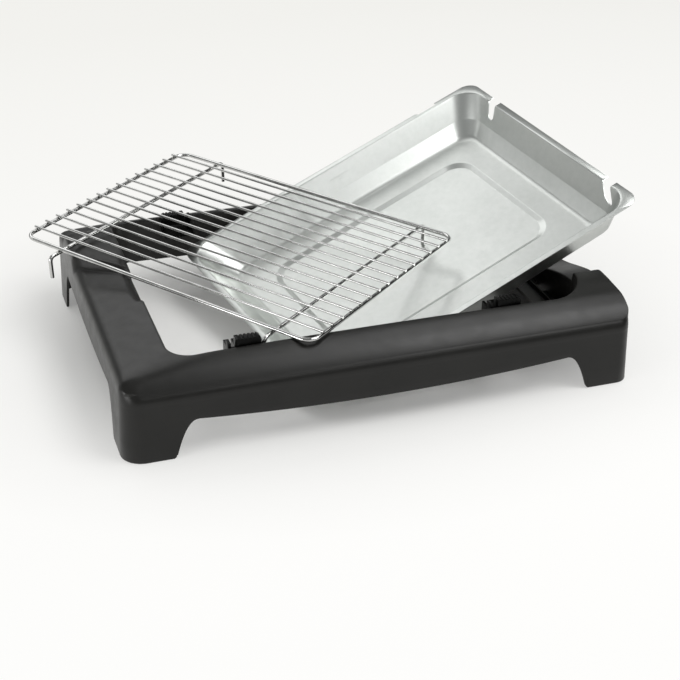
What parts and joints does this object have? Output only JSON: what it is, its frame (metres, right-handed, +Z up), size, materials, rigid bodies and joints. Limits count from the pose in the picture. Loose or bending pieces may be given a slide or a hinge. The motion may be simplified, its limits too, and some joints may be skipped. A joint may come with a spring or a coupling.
{
  "type": "electric grill",
  "caption": "Table-top electric barbecue taken apart: a moulded stand on feet, a slotted drip tray leaning out of it and a wire rack laid on top.",
  "frame": {"origin": "the middle of the whole pile's box, on the table: the stand's feet and the tray's low corner stand at z = 0", "axes": "+X along the stand's front rail towards its bay, +Y from the front rail to the back rail, +Z up"},
  "size_m": [0.5498, 0.4338, 0.1802],
  "materials": {
    "black_plastic": "fine matt texture outside, smoother inner walls",
    "black_clip_plastic": "smooth, slightly oily black",
    "galvanised_sheet": "pressed zinc-coated sheet, satin with a fine lengthwise grain",
    "bright_wire": "bright plated wire"
  },
  "bodies": {
    "base": {"base_frame": "black_plastic", "rack_support_front_left": "black_clip_plastic", "rack_support_front_right": "black_clip_plastic", "rack_support_back_left": "black_clip_plastic", "rack_support_back_right": "black_clip_plastic"},
    "tray": {"drip_tray": "galvanised_sheet"},
    "rack": {"rack_rim": "bright_wire", "rack_bar_01": "bright_wire", "rack_bar_02": "bright_wire", "rack_bar_03": "bright_wire", "rack_bar_04": "bright_wire", "rack_bar_05": "bright_wire", "rack_bar_06": "bright_wire", "rack_bar_07": "bright_wire", "rack_bar_08": "bright_wire", "rack_bar_09": "bright_wire", "rack_bar_10": "bright_wire", "rack_bar_11": "bright_wire", "rack_bar_12": "bright_wire", "rack_bar_13": "bright_wire", "rack_bar_14": "bright_wire", "rack_bar_15": "bright_wire", "rack_leg_wire_left": "bright_wire", "rack_leg_wire_right": "bright_wire"}
  },
  "joints": [
    {"name": "tray_draw", "type": "slide", "parent": "base", "child": "tray", "axis": [0.9227, 0.1425, 0.3583], "range_m": [0, 0.13]},
    {"name": "rack_lift", "type": "slide", "parent": "base", "child": "rack", "axis": [0, 0, 1], "range_m": [0, 0.2]}
  ]
}
